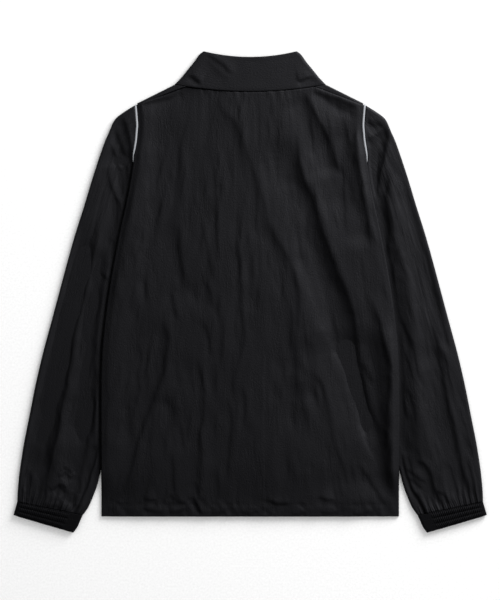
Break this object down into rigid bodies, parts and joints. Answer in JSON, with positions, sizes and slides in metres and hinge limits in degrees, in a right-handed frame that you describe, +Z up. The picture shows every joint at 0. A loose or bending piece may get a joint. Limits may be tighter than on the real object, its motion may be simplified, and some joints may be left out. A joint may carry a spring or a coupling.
{
  "type": "woven jacket",
  "caption": "Light woven jacket laid flat with its back up: stand collar, long sleeves with piped armholes, gathered elastic cuffs and a turned-up hem.",
  "frame": {"origin": "on the surface the jacket lies on, at the middle of its outline", "axes": "+X across the shoulders to the wearer's right, +Y from hem to collar, +Z up off the surface"},
  "size_m": [0.7672, 0.7802, 0.0136],
  "materials": {
    "shell": "crinkled plain weave, soft sheen",
    "elastic": "gathered over elastic, matt",
    "piping": "light grey corded piping",
    "zip": "woven tape with moulded chain",
    "slider": "dark enamel"
  },
  "bodies": {
    "root": {"back_panel": "shell", "collar": "shell", "left_front": "shell", "right_front": "shell", "left_sleeve": "shell", "right_sleeve": "shell", "left_cuff": "elastic", "right_cuff": "elastic", "left_piping": "piping", "right_piping": "piping", "front_zip": "zip", "zip_slider": "slider"}
  },
  "joints": []
}
